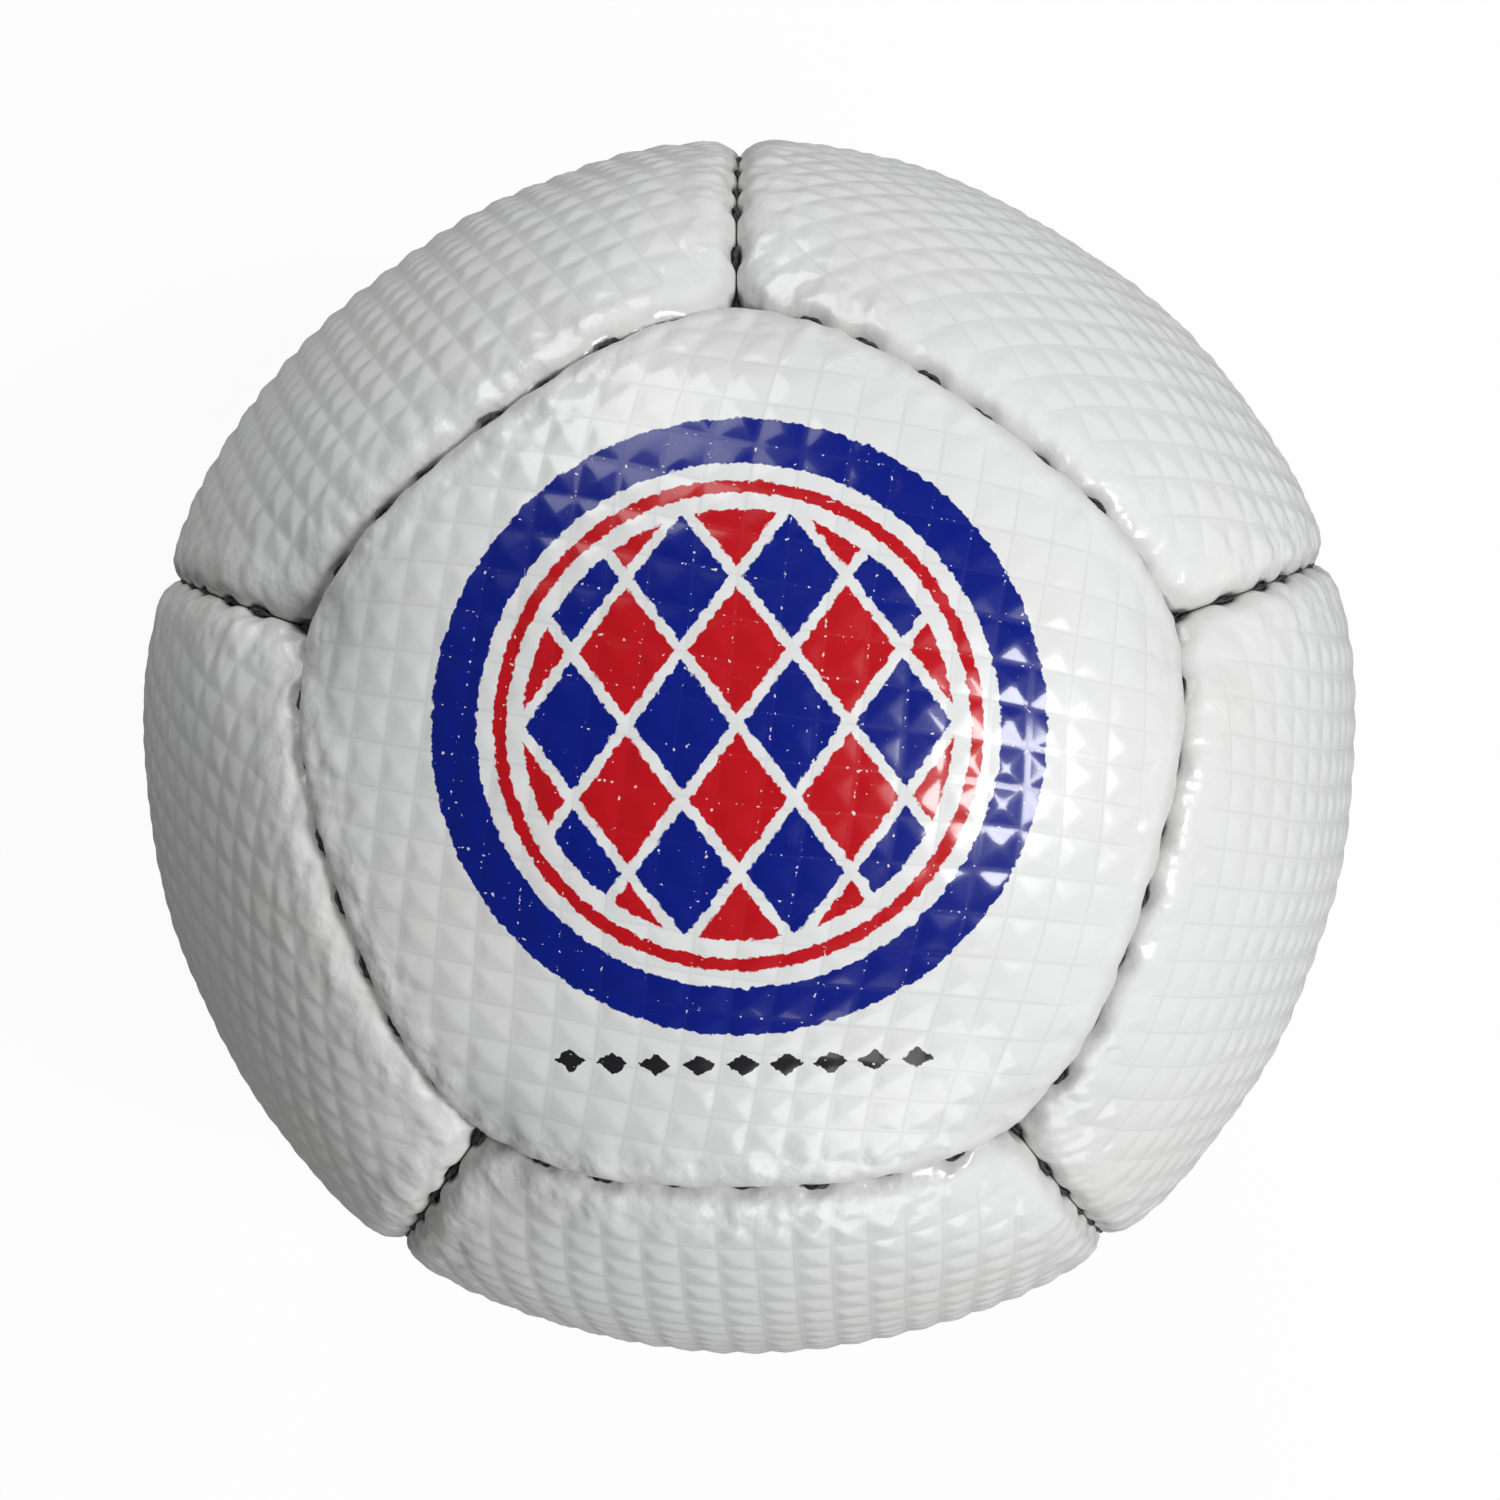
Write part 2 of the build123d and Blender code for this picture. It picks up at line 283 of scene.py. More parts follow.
def panelSheet(place, number, ply):
    # the grid bent over the panel's dome, its edges wrapped over a quarter of an ellipse and then straight
    # down the seam wall, with the stitches, creases and embossing added
    basis = bases[place]
    ticks, u, v, x, y, way = sheetGrid(place, number, ply["steps"])
    rows = np.arange(len(u))

    # distance to each of the five walls of this panel, in its own frame
    mine = [(seam, k) for seam in seams for k in (0, 1) if seam["pair"][k] == number]
    normals = unit(np.array([basis.T @ (axes[number] - axes[s["pair"][1 - k]]) for s, k in mine]))
    toWall = ball["sheetRadius"] * np.arcsin(np.clip(way @ normals.T, -1, 1))
    nearest = np.argmin(toWall, axis=1)

    # a point past the corner rounding of two walls, whose normals stand at 60 degrees, lies c1 and c2 along
    # them, where its depths past the walls are p1 = c1 + c2 / 2 and p2 = c2 + c1 / 2, which gives
    # c1 = (p1 - p2 / 2) / 0.75 and c2 likewise
    boundary = ball["cornerRound"] + ball["seamGap"] / 2
    wall = ball["seamGap"] / 2 + ply["depth"]
    past = np.maximum(boundary - toWall, 0.0)
    order = np.argsort(-past, axis=1)[:, :2]
    p1, p2 = past[rows, order[:, 0]], past[rows, order[:, 1]]
    c1 = np.where(p2 > p1 / 2, (p1 - p2 / 2) / 0.75, p1)
    c2 = np.where(p2 > p1 / 2, (p2 - p1 / 2) / 0.75, 0.0)
    inward = c1[:, None] * normals[order[:, 0]] + c2[:, None] * normals[order[:, 1]]
    pastLength = np.linalg.norm(inward, axis=1)
    inwardUnit = inward / np.maximum(pastLength, tiny)[:, None]

    # length of sheet past the start of the roll, first on the quarter ellipse and then on the wall
    length = np.maximum(pastLength - boundary + wall + ply["across"], 0.0)
    quarter = math.pi / 2 * math.sqrt((ply["across"] ** 2 + ply["down"] ** 2) / 2)
    limit = quarter + ball["wallDepth"]
    inside = length < limit
    wrapped = np.minimum(length, limit)
    turn = np.minimum(wrapped / quarter, 1.0) * math.pi / 2
    outward = ply["across"] * np.sin(turn)
    drop = ply["depth"] + ply["down"] * (1 - np.cos(turn)) + np.maximum(wrapped - quarter, 0.0)

    # stitches open the lips in short lenses, and the corners squeeze them together
    lens = np.zeros_like(u)
    for index, (seam, _) in enumerate(mine):
        here = nearest == index
        globalWay = way[here] @ basis.T
        run = ball["sheetRadius"] * np.arctan2(globalWay @ seam["run"], globalWay @ seam["middle"])
        lens[here] = stitchLens(seam, run)
    lip = smoothStep(*stitches["lip"], turn)
    outward = outward - stitches["opening"] * lens * lip
    laid = unit(way + inwardUnit * (length - outward)[:, None] / ball["sheetRadius"])
    toCorner = ball["sheetRadius"] * np.arccos(np.clip((laid @ basis.T) @ corners.T, -1, 1).max(axis=1))
    outward = outward + ball["cornerClose"] * np.exp(-((toCorner / ball["cornerHold"]) ** 2)) * lip

    # puckers and crumpling in a band beside the seam, sunken corners and a soft shoulder
    distance = np.where(pastLength > 0, boundary - pastLength, toWall[rows, nearest])
    bandMiddle, bandWidth = (share * ball["edgeRoll"] for share in skin["band"])
    band = np.exp(-(((distance - bandMiddle) / bandWidth) ** 2))
    crumple = sum(share * slowWave(way, scale, seed + number, skin["wrinkleTerms"])
                  for share, scale, seed in skin["wrinkleWaves"])
    drop = drop + (stitches["pinch"] * (0.5 - lens) + skin["wrinkle"] * crumple) * band
    drop = drop + ball["cornerSink"] * np.exp(-((toCorner / ball["cornerReach"]) ** 2))
    drop = drop + ball["shoulderSoft"] * np.clip(1 - distance / ball["shoulderReach"], 0, 1) ** 2

    # embossing, which fades out towards the smooth lip
    cellU, cellV = u / skin["cell"], v / skin["cell"]
    cellScale = skin["leastHeight"] + skin["heightSpread"] * cellNoise(cellU, cellV, number)
    cushion = skin["height"] * cellScale * pyramid(cellU, cellV, number) - skin["sink"]
    plainShare = skin["plain"].get(place, skin["plain"]["other"])
    plainWave = slowWave(way, skin["plainScale"], skin["plainSeed"] + number)
    plain = ball["edgeRoll"] * (plainShare + skin["plainSpread"] * plainWave)
    fadeFrom, fadeTo = (share * ball["edgeRoll"] for share in skin["fade"])
    fade = smoothStep(fadeFrom, fadeTo, distance - plain)
    relief = ply["relief"] * skin["kept"].get(place, 1.0) * fade * cushion
    unevenWave = slowWave(way, skin["unevenScale"], skin["unevenSeed"] + number)
    uneven = skin["uneven"] * unevenWave * smoothStep(0, skin["unevenReach"], distance)

    # the points, with the bottom panel's grid drawn up to the rim of its valve hole
    outward = outward + relief * np.sin(turn)
    way = unit(way + inwardUnit * (length - outward)[:, None] / ball["sheetRadius"])
    reach = domeReach(way[:, 2]) - drop + relief * np.cos(turn) + uneven
    fromMiddle = np.hypot(x, y)
    hole = (fromMiddle < skin["holeRadius"]) & (place == "bottom")
    if place == "bottom":
        out = np.maximum(skin["holeRadius"] / np.maximum(fromMiddle, tiny), 1.0)
        rim = unit(np.column_stack([way[:, 0] * out, way[:, 1] * out, way[:, 2]]))
        way = np.where(hole[:, None], rim, way)
        reach = np.where(hole, ball["crownRadius"] - ply["depth"] - skin["sink"], reach)
    seamShade = 1.0 - smoothStep(0.0, 1.0, distance / (skin["shade"] * ball["edgeRoll"]))
    return {
        "points": (way * reach[:, None]) @ basis.T,
        "inside": inside & ~hole,
        "cells": np.column_stack([cellU, cellV]),
        "local": np.column_stack([x, y]),
        "seam": np.clip(seamShade, 0, 1),
        "ticks": ticks,
    }


def panelFaces(sheet, steps):
    # two triangles a grid square, split along the pyramid's ridge, kept where a corner is on the sheet
    side = len(sheet["ticks"])
    i, j = np.meshgrid(np.arange(side - 1), np.arange(side - 1), indexing="ij")
    i, j = i.ravel(), j.ravel()
    a, b, c, d = i * side + j, (i + 1) * side + j, (i + 1) * side + j + 1, i * side + j + 1
    offset = steps // 2
    inCellU = (sheet["ticks"][i] + offset) % steps - offset + 0.5
    inCellV = (sheet["ticks"][j] + offset) % steps - offset + 0.5
    rising = inCellU * inCellV > 0
    first = np.where(rising[:, None], np.column_stack([a, b, c]), np.column_stack([a, b, d]))
    second = np.where(rising[:, None], np.column_stack([a, c, d]), np.column_stack([b, c, d]))
    triangles = np.concatenate([first, second])
    return triangles[sheet["inside"][triangles].any(axis=1)]


def meshFromArrays(name, points, triangles, layers=None, shade=None):
    # mesh of triangles with named UV layers and one point attribute
    mesh = bpy.data.meshes.new(name)
    mesh.vertices.add(len(points))
    mesh.vertices.foreach_set("co", np.ascontiguousarray(points, dtype=np.float32).ravel())
    mesh.loops.add(triangles.size)
    mesh.loops.foreach_set("vertex_index", triangles.ravel().astype(np.int32))
    mesh.polygons.add(len(triangles))
    mesh.polygons.foreach_set("loop_start", np.arange(0, triangles.size, 3, dtype=np.int32))
    mesh.polygons.foreach_set("use_smooth", np.ones(len(triangles), dtype=bool))
    mesh.update(calc_edges=True)
    for layerName, values in (layers or {}).items():
        uv = mesh.uv_layers.new(name=layerName)
        uv.data.foreach_set("uv", values[triangles.ravel()].astype(np.float32).ravel())
    if shade is not None:
        attribute = mesh.attributes.new("seamShade", "FLOAT", "POINT")
        attribute.data.foreach_set("value", shade.astype(np.float32))
    mesh.validate()
    return mesh


def addPiece(name, mesh, material):
    piece = bpy.data.objects.new(name, mesh)
    bpy.context.scene.collection.objects.link(piece)
    mesh.materials.append(material)
    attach(piece, "root")
    return piece


# Node helpers
def newMaterial(name):
    material = bpy.data.materials.new(name)
    material.use_nodes = True
    tree = material.node_tree
    tree.nodes.clear()
    output = tree.nodes.new("ShaderNodeOutputMaterial")
    shader = tree.nodes.new("ShaderNodeBsdfPrincipled")
    tree.links.new(shader.outputs["BSDF"], output.inputs["Surface"])
    return material, tree, shader


def setSocket(tree, socket, value):
    # a link where the value comes from another node, and otherwise the socket's own value
    if isinstance(value, bpy.types.NodeSocket):
        tree.links.new(value, socket)
    else:
        socket.default_value = value


def addNode(tree, kind, settings=None, **inputs):
    # inputs go by the socket's name, or by i and its number where names repeat
    node = tree.nodes.new(kind)
    for key, value in (settings or {}).items():
        setattr(node, key, value)
    for key, value in inputs.items():
        numbered = key[0] == "i" and key[1:].isdigit()
        setSocket(tree, node.inputs[int(key[1:])] if numbered else node.inputs[key], value)
    return node


def math2(tree, operation, first, second=0.0, third=None):
    inputs = {"i0": first, "i1": second}
    if third is not None:
        inputs["i2"] = third
    return addNode(tree, "ShaderNodeMath", {"operation": operation}, **inputs).outputs[0]


def vectorMath(tree, operation, **inputs):
    return addNode(tree, "ShaderNodeVectorMath", {"operation": operation}, **inputs).outputs[0]


def mixColour(tree, factor, first, second):
    return addNode(tree, "ShaderNodeMix", {"data_type": "RGBA"}, i0=factor, i6=first, i7=second).outputs[2]


def ramp(tree, value, low, high):
    # 0 at low, 1 at high, smooth between
    node = addNode(tree, "ShaderNodeMapRange", {"interpolation_type": "SMOOTHSTEP"}, Value=value)
    node.inputs["From Min"].default_value = low
    node.inputs["From Max"].default_value = high
    return node.outputs["Result"]


def noiseOn(tree, place, scale, detail):
    return addNode(tree, "ShaderNodeTexNoise", None, Vector=place, Scale=scale, Detail=detail)


def addBump(tree, shader, height, strength, distance):
    bump = addNode(tree, "ShaderNodeBump", None, Height=height, Strength=strength, Distance=distance)
    tree.links.new(bump.outputs["Normal"], shader.inputs["Normal"])


def newGroup(name, inputs, outputs):
    group = bpy.data.node_groups.new(name, "ShaderNodeTree")
    for socketName, kind in inputs.items():
        group.interface.new_socket(socketName, in_out="INPUT", socket_type="NodeSocket" + kind)
    for socketName, kind in outputs.items():
        group.interface.new_socket(socketName, in_out="OUTPUT", socket_type="NodeSocket" + kind)
    return group, group.nodes.new("NodeGroupInput"), group.nodes.new("NodeGroupOutput")


# Coated synthetic leather: colour with painted shade in the grooves and beside the seams, roughness and fine
# grain that all twelve panels share
leather = {
    "white": (0.785, 0.80, 0.80, 1),
    "warm": (0.77, 0.775, 0.765, 1),
    # painted shade colour of the grooves between the pyramids
    "groove": (0.60, 0.60, 0.60, 1),
    # painted shade colour in the crevice beside each seam
    "seam": (0.50, 0.49, 0.48, 1),
    "blotchScale": 55.0,             # of the warm patches
    "blotchRange": (0.35, 0.7),
    "grooveWidthScale": 420.0,              # of the change in the grooves' width
    "grooveLeast": 0.01,             # narrowest groove, in cells
    "grooveSpread": 0.10,            # and what noise adds
    # how strongly the painted shade darkens the grooves
    "paintedGrooveShade": 0.38,
    "grooveFade": (0.25, 0.75),      # shade of the seam over which grooves end
    # how strongly the painted shade darkens the seam crevices, and over which part of the seam band it comes
    # in
    "paintedSeamShade": 0.45,
    "paintedSeamShadeRange": (0.80, 1.0),
    "roughness": 0.31,
    "smudgeScale": 140.0,
    "smudge": 0.16,                  # spread of the roughness
    "grooveRough": 0.12,             # more in the grooves
    "grainScale": 2600.0,
    "grain": 0.005 * mm,
    "creaseScale": 750.0,
    "crease": 0.16 * mm,             # fine creases on the rolled edges
    "creaseRange": (0.2, 0.75),
    "specular": 0.25,
    "coat": 0.35,
    "coatRoughness": 0.10,
}


def leatherGroup():
    group, start, end = newGroup(
        "coatedLeather",
        {"Cells": "Vector", "Seam": "Float"},
        {"Color": "Color", "Roughness": "Float", "Height": "Float", "Groove": "Float"},
    )
    seam = start.outputs["Seam"]
    place = addNode(group, "ShaderNodeTexCoord").outputs["Object"]
    blotch = noiseOn(group, place, leather["blotchScale"], 3.0).outputs["Fac"]
    tint = mixColour(group, ramp(group, blotch, *leather["blotchRange"]), leather["white"], leather["warm"])
    # distance to the nearest border between pyramids, in cells
    parts = addNode(group, "ShaderNodeSeparateXYZ", None, Vector=start.outputs["Cells"])
    edges = []
    for axis in ("X", "Y"):
        shifted = math2(group, "ADD", parts.outputs[axis], 0.5)
        edges.append(math2(group, "PINGPONG", shifted, 0.5))
    border = math2(group, "MINIMUM", edges[0], edges[1])
    grooveWidthNoise = noiseOn(group, place, leather["grooveWidthScale"], 2.0).outputs["Fac"]
    width = math2(group, "MULTIPLY_ADD", grooveWidthNoise, leather["grooveSpread"], leather["grooveLeast"])
    line = math2(group, "SUBTRACT", 1.0, ramp(group, math2(group, "DIVIDE", border, width), 0.0, 1.0))
    awayFromSeam = math2(group, "SUBTRACT", 1.0, ramp(group, seam, *leather["grooveFade"]))
    groove = math2(group, "MULTIPLY", line, awayFromSeam)
    # painted shade: the colour is darkened along the grooves and in the band beside each seam
    paintedGrooveShade = math2(group, "MULTIPLY", groove, leather["paintedGrooveShade"])
    paintedSeamShade = math2(group, "MULTIPLY", ramp(group, seam, *leather["paintedSeamShadeRange"]), leather["paintedSeamShade"])
    colour = mixColour(group, paintedGrooveShade, tint, leather["groove"])
    colour = mixColour(group, paintedSeamShade, colour, leather["seam"])
    smudge = noiseOn(group, place, leather["smudgeScale"], 4.0).outputs["Fac"]
    smoothest = leather["roughness"] - leather["smudge"] / 2
    rough = math2(group, "MULTIPLY_ADD", smudge, leather["smudge"], smoothest)
    rough = math2(group, "MULTIPLY_ADD", groove, leather["grooveRough"], rough)
    grain = noiseOn(group, place, leather["grainScale"], 2.0).outputs["Fac"]
    crease = noiseOn(group, place, leather["creaseScale"], 2.0).outputs["Fac"]
    creased = math2(group, "MULTIPLY", crease, ramp(group, seam, *leather["creaseRange"]))
    fine = math2(group, "MULTIPLY", grain, leather["grain"])
    height = math2(group, "MULTIPLY_ADD", creased, leather["crease"], fine)
    for socket, value in (("Color", colour), ("Roughness", rough), ("Height", height), ("Groove", groove)):
        group.links.new(value, end.inputs[socket])
    return group


leatherNodes = leatherGroup()

# Print: a ring around a field of lozenges, in millimetres on the panel's own sheet
inkPrint = {
    "blue": (0.0, 0.009, 0.215, 1),
    "red": (0.51, 0.004, 0.010, 1),
    "black": (0.012, 0.012, 0.014, 1),
    "centre": (0.0, 3.0),
    "ringOuter": 21.0, "ringInner": 17.6,
    "lineOuter": 16.4, "lineInner": 15.5,
    "field": 14.3,
    "lozengeWide": 7.3, "lozengeTall": 9.733, "gap": 0.45, "gapSoft": 0.01,
    "rowBelow": 23.2, "rowHalfWidth": 13.5, "rowStep": 3.0, "rowWide": 1.15, "rowTall": 0.85,
    "edgeSoft": 0.05,        # half width of an ink's edge
    "ragged": 0.35, "raggedScale": 1.7,
    "fleckScale": 2.6,       # of the flecks of bare skin
    "fleckLimit": 0.72,      # noise above this is bare
    "fleckInGrooves": -0.10,  # what a groove adds to that limit
}


def printMasks(tree, local, groove):
    # where the ring, the thin line, every other lozenge and the row below lie, with ragged edges
    scaled = vectorMath(tree, "SCALE", Vector=local, Scale=1 / mm)
    rough = noiseOn(tree, scaled, inkPrint["raggedScale"], 3.0).outputs["Color"]
    shake = vectorMath(tree, "MULTIPLY_ADD", i0=rough, i1=(inkPrint["ragged"] * 2,) * 3,
                       i2=(-inkPrint["ragged"],) * 3)
    moved = vectorMath(tree, "ADD", i0=scaled, i1=shake)
    centred = vectorMath(tree, "SUBTRACT", i0=moved, i1=(*inkPrint["centre"], 0.0))
    parts = addNode(tree, "ShaderNodeSeparateXYZ", None, Vector=centred)
    x, y = parts.outputs["X"], parts.outputs["Y"]
    radius = addNode(tree, "ShaderNodeVectorMath", {"operation": "LENGTH"}, i0=centred).outputs["Value"]

    def inside(value, edge):
        # 1 where value is under edge, with a soft edge
        soft = ramp(tree, value, edge - inkPrint["edgeSoft"], edge + inkPrint["edgeSoft"])
        return math2(tree, "SUBTRACT", 1.0, soft)

    def between(low, high):
        return math2(tree, "SUBTRACT", inside(radius, high), inside(radius, low))

    # lozenge lattice: the two slanted coordinates of a diamond grid
    slantX = math2(tree, "DIVIDE", x, inkPrint["lozengeWide"])
    slantY = math2(tree, "DIVIDE", y, inkPrint["lozengeTall"])
    p = math2(tree, "ADD", slantX, slantY)
    q = math2(tree, "SUBTRACT", slantX, slantY)
    toEdge = math2(tree, "MINIMUM", math2(tree, "PINGPONG", p, 0.5), math2(tree, "PINGPONG", q, 0.5))
    gap = inkPrint["gap"] / inkPrint["lozengeWide"]
    clear = ramp(tree, toEdge, gap - inkPrint["gapSoft"], gap + inkPrint["gapSoft"])
    steps = math2(tree, "ADD", math2(tree, "FLOOR", p), math2(tree, "FLOOR", q))
    parity = math2(tree, "FLOORED_MODULO", steps, 2.0)
    field = math2(tree, "MULTIPLY", clear, inside(radius, inkPrint["field"]))
    redField = math2(tree, "MULTIPLY", field, parity)
    blueField = math2(tree, "SUBTRACT", field, redField)
    blue = math2(tree, "ADD", between(inkPrint["ringInner"], inkPrint["ringOuter"]), blueField)
    red = math2(tree, "ADD", between(inkPrint["lineInner"], inkPrint["lineOuter"]), redField)
    # row of small lozenges below the ring: |x| / wide + |y| / tall under 1 in each step
    rowX = math2(tree, "PINGPONG", x, inkPrint["rowStep"] / 2)
    rowY = math2(tree, "ABSOLUTE", math2(tree, "ADD", y, inkPrint["rowBelow"]))
    shareX = math2(tree, "DIVIDE", rowX, inkPrint["rowWide"])
    shareY = math2(tree, "DIVIDE", rowY, inkPrint["rowTall"])
    inRow = inside(math2(tree, "ABSOLUTE", x), inkPrint["rowHalfWidth"])
    black = math2(tree, "MULTIPLY", inside(math2(tree, "ADD", shareX, shareY), 1.0), inRow)
    # flecks of bare skin, mostly in the grooves
    fleck = noiseOn(tree, scaled, inkPrint["fleckScale"], 5.0).outputs["Fac"]
    limit = math2(tree, "MULTIPLY_ADD", groove, inkPrint["fleckInGrooves"], inkPrint["fleckLimit"])
    kept = math2(tree, "LESS_THAN", fleck, limit)
    inks = {"blue": blue, "red": red, "black": black}
    return {ink: math2(tree, "MULTIPLY", mask, kept) for ink, mask in inks.items()}


def skinMaterial(name, printed):
    material, tree, shader = newMaterial(name)
    cells = addNode(tree, "ShaderNodeUVMap", {"uv_map": "cells"}).outputs["UV"]
    seam = addNode(tree, "ShaderNodeAttribute", {"attribute_name": "seamShade"}).outputs["Fac"]
    surface = addNode(tree, "ShaderNodeGroup", {"node_tree": leatherNodes}, Cells=cells, Seam=seam)
    colour = surface.outputs["Color"]
    if printed:
        local = addNode(tree, "ShaderNodeUVMap", {"uv_map": "local"}).outputs["UV"]
        for ink, mask in printMasks(tree, local, surface.outputs["Groove"]).items():
            colour = mixColour(tree, mask, colour, inkPrint[ink])
    tree.links.new(colour, shader.inputs["Base Color"])
    tree.links.new(surface.outputs["Roughness"], shader.inputs["Roughness"])
    addBump(tree, shader, surface.outputs["Height"], 1.0, 1.0)
    shader.inputs["Specular IOR Level"].default_value = leather["specular"]
    shader.inputs["Coat Weight"].default_value = leather["coat"]
    shader.inputs["Coat Roughness"].default_value = leather["coatRoughness"]
    return material


# Thread: two strands twisted into one cord that lies in each seam, rises in the openings and dips between
thread = {
    "radius": 0.125 * mm,
    "offset": 0.10 * mm,     # strand's middle to the cord's
    "lay": 2.4 * mm,         # length of one full twist
    "depth": 2.5 * mm,       # below the panels' surface
    "sway": 0.10 * mm,       # from side to side of the seam
    "rise": 0.95 * mm,       # at a stitch
    "riseAtTop": 1.55 * mm,  # at a stitch beside the top panel's tight edge
    "endDip": 1.2 * mm,      # deeper still at the corners
    "endReach": 3.0 * mm,
    "sides": 7,
    "rings": 210,
    "turns": {"outer_thread": 0.0, "inner_thread": math.pi},  # where each strand starts its twist
}


def seamStrand(seam, turn):
    # rings of points carried along the seam's arc at a varying depth, turning about the cord's middle
    endRun = ball["sheetRadius"] * math.asin(math.tan(edgeAngle) / math.sqrt(3))
    run = np.linspace(-endRun, endRun, thread["rings"])
    angle = run / ball["sheetRadius"]
    way = np.cos(angle)[:, None] * seam["middle"] + np.sin(angle)[:, None] * seam["run"]
    across = np.cross(seam["middle"], seam["run"])
    toEnd = endRun - np.abs(run)
    rise = thread["riseAtTop"] if panelNames.index("top") in seam["pair"] else thread["rise"]
    reach = domeReach(math.cos(edgeAngle) * np.cos(angle)) - thread["depth"] + rise * stitchLens(seam, run)
    reach = reach - thread["endDip"] * (1.0 - smoothStep(0.0, thread["endReach"], toEnd))
    reach = reach - ball["cornerSink"] * np.exp(-((toEnd / ball["cornerReach"]) ** 2))
    twist = 2 * math.pi * run / thread["lay"] + turn
    aside = thread["sway"] * np.sin(run / ball["stitchPitch"] * math.pi) + thread["offset"] * np.sin(twist)
    path = way * (reach + thread["offset"] * np.cos(twist))[:, None] + across * aside[:, None]
    around = np.linspace(0, 2 * math.pi, thread["sides"], endpoint=False)
    section = np.cos(around)[None, :, None] * way[:, None, :] + np.sin(around)[None, :, None] * across
    return path[:, None, :] + thread["radius"] * section, path


def cordFaces(rings, sides):
    # two triangles between neighbours on neighbouring rings, and a fan on a middle point at each end
    i, j = np.meshgrid(np.arange(rings - 1), np.arange(sides), indexing="ij")
    i, j = i.ravel(), j.ravel()
    n = (j + 1) % sides
    a, b, c, d = i * sides + j, i * sides + n, (i + 1) * sides + n, (i + 1) * sides + j
    tube = np.concatenate([np.column_stack([a, c, b]), np.column_stack([a, d, c])])
    k = np.arange(sides)
    last = (rings - 1) * sides
    firstFan = np.column_stack([np.full(sides, rings * sides), k, (k + 1) % sides])
    lastFan = np.column_stack([np.full(sides, rings * sides + 1), last + (k + 1) % sides, last + k])
    return np.concatenate([tube, firstFan, lastFan])


def threadMesh(name, turn):
    # one strand's tubes in all the seams
    oneTube = cordFaces(thread["rings"], thread["sides"])
    pointsEach = thread["rings"] * thread["sides"] + 2
    points, triangles = [], []
    for number, seam in enumerate(seams):
        rings, path = seamStrand(seam, turn)
        points.append(np.concatenate([rings.reshape(-1, 3), path[:1], path[-1:]]))
        triangles.append(oneTube + number * pointsEach)
    return meshFromArrays(name, np.concatenate(points), np.concatenate(triangles))


# Thread, foam and rubber: two colours, the scale of their grain, the roughness and the bump
grained = {"range": (0.3, 0.75), "roughSpread": 0.2, "bumpDistance": 0.1 * mm}
grainedFinishes = {
    "thread": {"name": "waxedThread", "dark": (0.012, 0.012, 0.014, 1), "light": (0.05, 0.05, 0.055, 1),
               "scale": 3000.0, "roughness": 0.55, "bump": 0.4},
    "foam": {"name": "closedCellFoam", "dark": (0.50, 0.47, 0.38, 1), "light": (0.68, 0.65, 0.56, 1),
             "scale": 1500.0, "roughness": 0.9, "bump": 0.5},
    "bladder": {"name": "butylRubber", "dark": (0.010, 0.010, 0.010, 1), "light": (0.030, 0.030, 0.030, 1),
                "scale": 300.0, "roughness": 0.55, "bump": 0.15},
    "valve_boss": {"name": "valveRubber", "dark": (0.012, 0.012, 0.012, 1), "light": (0.028, 0.028, 0.028, 1),
                   "scale": 900.0, "roughness": 0.5, "bump": 0.15},
    "valve_core": {"name": "coreRubber", "dark": (0.32, 0.30, 0.26, 1), "light": (0.45, 0.43, 0.38, 1),
                   "scale": 900.0, "roughness": 0.45, "bump": 0.15},
}


def grainGroup():
    # colour, roughness and height from one fine noise on Object coordinates
    group, start, end = newGroup(
        "fineGrain",
        {"Scale": "Float", "Dark": "Color", "Light": "Color", "Smoothest": "Float"},
        {"Color": "Color", "Roughness": "Float", "Height": "Float"},
    )
    place = addNode(group, "ShaderNodeTexCoord").outputs["Object"]
    grain = noiseOn(group, place, start.outputs["Scale"], 4.0).outputs["Fac"]
    level = ramp(group, grain, *grained["range"])
    colour = mixColour(group, level, start.outputs["Dark"], start.outputs["Light"])
    rough = math2(group, "MULTIPLY_ADD", grain, grained["roughSpread"], start.outputs["Smoothest"])
    for socket, value in (("Color", colour), ("Roughness", rough), ("Height", grain)):
        group.links.new(value, end.inputs[socket])
    return group


grainNodes = grainGroup()


def grainedMaterial(finish):
    material, tree, shader = newMaterial(finish["name"])
    smoothest = finish["roughness"] - grained["roughSpread"] / 2
    grain = addNode(tree, "ShaderNodeGroup", {"node_tree": grainNodes}, Scale=finish["scale"],
                    Dark=finish["dark"], Light=finish["light"], Smoothest=smoothest)
    tree.links.new(grain.outputs["Color"], shader.inputs["Base Color"])
    tree.links.new(grain.outputs["Roughness"], shader.inputs["Roughness"])
    addBump(tree, shader, grain.outputs["Height"], finish["bump"], grained["bumpDistance"])
    return material


# Lining: plain woven cotton
cloth = {
    "dark": (0.42, 0.39, 0.32, 1),
    "light": (0.66, 0.62, 0.54, 1),
    "pitch": 0.7 * mm,  # from one yarn to the next but one
    "levels": (-0.6, 0.9),
    "bump": 0.5,
    "bumpDistance": 0.1 * mm,
    "roughness": 0.85,
}


